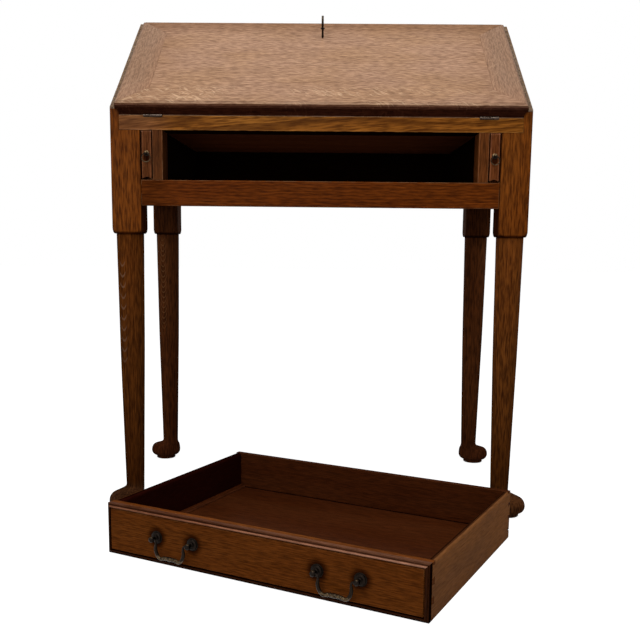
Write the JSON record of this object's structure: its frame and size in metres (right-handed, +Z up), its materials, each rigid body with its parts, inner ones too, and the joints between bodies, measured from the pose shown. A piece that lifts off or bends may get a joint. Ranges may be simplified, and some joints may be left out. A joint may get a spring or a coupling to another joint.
{
  "type": "writing bureau",
  "caption": "Slant-front oak writing bureau on turned pad-foot legs, with a hinged fall, key and lock, pull-out lopers and a long drawer that stands on the floor in front of it.",
  "frame": {"origin": "on the floor under the middle of the whole arrangement, the bureau and the drawer in front of it", "axes": "+X to the right of someone facing the bureau, +Y from the front to the back, +Z up"},
  "size_m": [0.779, 0.9078, 0.9346],
  "materials": {
    "oak_frame": "waxed oak, mid brown",
    "oak_top_rail": "waxed oak, golden",
    "oak_fall": "waxed quarter-sawn oak, figured",
    "oak_clamp": "waxed oak, grain along the clamp",
    "oak_drawer": "waxed oak, reddish brown",
    "oak_inside": "unpolished oak, darkened",
    "oak_back": "unpolished oak",
    "brass": "dark patina",
    "hinge_steel": "dull"
  },
  "bodies": {
    "carcass": {"front_leg_left": "oak_frame", "front_leg_right": "oak_frame", "back_leg_left": "oak_frame", "back_leg_right": "oak_frame", "side_panel_left": "oak_frame", "side_panel_right": "oak_frame", "top_board": "oak_frame", "back_panel": "oak_back", "back_rail": "oak_back", "top_rail": "oak_top_rail", "bottom_rail": "oak_frame", "stile_left": "oak_frame", "stile_right": "oak_frame", "desk_bed": "oak_inside", "drawer_runner_left": "oak_inside", "drawer_runner_right": "oak_inside", "loper_guide_left": "oak_inside", "loper_guide_right": "oak_inside", "pigeonhole_shelf": "oak_inside", "pigeonhole_divider_left": "oak_inside", "pigeonhole_divider_middle": "oak_inside", "pigeonhole_divider_right": "oak_inside", "hinge_bed_leaf_left": "hinge_steel", "hinge_bed_leaf_right": "hinge_steel", "hinge_pin_left": "hinge_steel", "hinge_pin_right": "hinge_steel"},
    "fall": {"fall_panel": "oak_fall", "fall_clamp_left": "oak_clamp", "fall_clamp_right": "oak_clamp", "lock_case": "brass", "hinge_fall_leaf_left": "hinge_steel", "hinge_fall_leaf_right": "hinge_steel"},
    "key": {"key": "brass"},
    "lock_bolt": {"lock_bolt": "brass"},
    "loper_left": {"loper_left": "oak_drawer", "loper_stop_left": "oak_inside", "loper_stud_left": "brass"},
    "loper_right": {"loper_right": "oak_drawer", "loper_stop_right": "oak_inside", "loper_stud_right": "brass"},
    "loper_ring_left": {"loper_ring_left": "brass"},
    "loper_ring_right": {"loper_ring_right": "brass"},
    "drawer": {"drawer_front": "oak_drawer", "drawer_side_left": "oak_inside", "drawer_side_right": "oak_inside", "drawer_back": "oak_inside", "drawer_bottom": "oak_inside", "drawer_slip_left": "oak_inside", "drawer_slip_right": "oak_inside", "cock_bead_top": "oak_drawer", "cock_bead_bottom": "oak_drawer", "cock_bead_left": "oak_drawer", "cock_bead_right": "oak_drawer", "handle_post_1": "brass", "handle_post_2": "brass", "handle_post_3": "brass", "handle_post_4": "brass"},
    "bail_left": {"bail_left": "brass"},
    "bail_right": {"bail_right": "brass"}
  },
  "joints": [
    {"name": "fall_hinge", "type": "hinge", "parent": "carcass", "child": "fall", "pos_m": [0, 0.01041, 0.7195], "axis": [1, 0, 0], "range_deg": [0, 143.67]},
    {"name": "loper_left_slide", "type": "slide", "parent": "carcass", "child": "loper_left", "axis": [0, -1, 0], "range_m": [0, 0.261]},
    {"name": "loper_left_ring_swing", "type": "hinge", "parent": "loper_left", "child": "loper_ring_left", "pos_m": [-0.3063, 0.00421, 0.6546], "axis": [-1, 0, 0], "range_deg": [-18, 100]},
    {"name": "loper_right_slide", "type": "slide", "parent": "carcass", "child": "loper_right", "axis": [0, -1, 0], "range_m": [0, 0.261]},
    {"name": "loper_right_ring_swing", "type": "hinge", "parent": "loper_right", "child": "loper_ring_right", "pos_m": [0.3063, 0.00421, 0.6546], "axis": [-1, 0, 0], "range_deg": [-18, 100]},
    {"name": "key_turn", "type": "hinge", "parent": "fall", "child": "key", "pos_m": [0, 0.21059, 0.89713], "axis": [0, -0.5925, 0.8056], "range_deg": [0, 180]},
    {"name": "bolt_throw", "type": "slide", "parent": "fall", "child": "lock_bolt", "axis": [0, 0.8056, 0.5925], "range_m": [0, 0.015]},
    {"name": "drawer_slide", "type": "slide", "parent": "carcass", "child": "drawer", "axis": [-0.4503, -0.8929, 0], "range_m": [0, 0.36]},
    {"name": "bail_left_swing", "type": "hinge", "parent": "drawer", "child": "bail_left", "pos_m": [-0.22218, -0.27895, 0.0435], "axis": [-0.8929, 0.4503, 0], "range_deg": [-15, 100]},
    {"name": "bail_right_swing", "type": "hinge", "parent": "drawer", "child": "bail_right", "pos_m": [0.03122, -0.40673, 0.0435], "axis": [-0.8929, 0.4503, 0], "range_deg": [-15, 100]}
  ],
  "couplings": [
    {"joint": "key_turn", "follows": "bolt_throw", "rad_per_m": 209.44}
  ]
}
